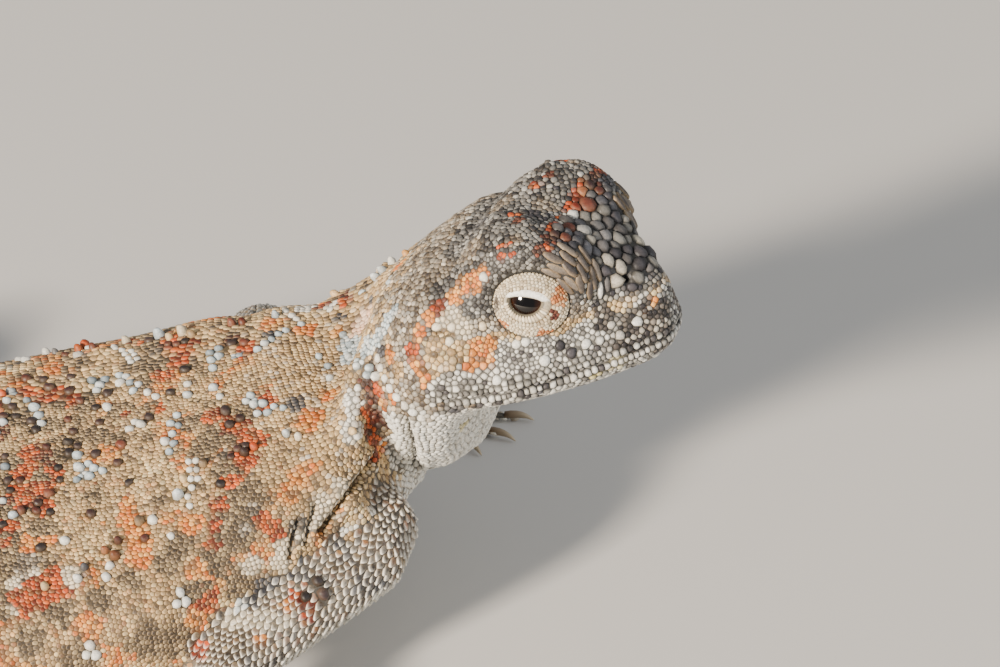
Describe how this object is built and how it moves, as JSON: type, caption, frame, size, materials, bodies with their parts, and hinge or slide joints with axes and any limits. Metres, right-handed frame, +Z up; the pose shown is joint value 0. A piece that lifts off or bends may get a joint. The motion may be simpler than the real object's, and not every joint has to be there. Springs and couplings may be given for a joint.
{
  "type": "sunwatcher toadhead agama",
  "caption": "Life-size still figure of a small desert lizard resting on its belly, fore body raised on the arms and head turned to its right.",
  "frame": {"origin": "middle of the belly's rest, on the surface that the animal lies on", "axes": "+X towards the shoulders, +Y towards the animal's left, +Z up"},
  "size_m": [0.1302, 0.0611, 0.0259],
  "materials": {
    "head_skin": "dry scales, grey-brown with orange patches",
    "body_skin": "dry granular scales, sand with rust and pale blue spots",
    "limb_skin": "dry overlapping scales, pale sand",
    "tail_skin": "dry scales in rings, sand with darker bands",
    "eye_surface": "wet and glossy"
  },
  "bodies": {
    "root": {"head": "head_skin", "eye_left": "eye_surface", "eye_right": "eye_surface", "neck": "body_skin", "torso": "body_skin", "tail_base": "tail_skin", "tail_middle": "tail_skin", "tail_end": "tail_skin", "right_upper_arm": "limb_skin", "right_forearm": "limb_skin", "right_hand": "limb_skin", "left_upper_arm": "limb_skin", "left_forearm": "limb_skin", "left_hand": "limb_skin", "right_thigh": "limb_skin", "right_shin": "limb_skin", "right_foot": "limb_skin", "left_thigh": "limb_skin", "left_shin": "limb_skin", "left_foot": "limb_skin"}
  },
  "joints": []
}
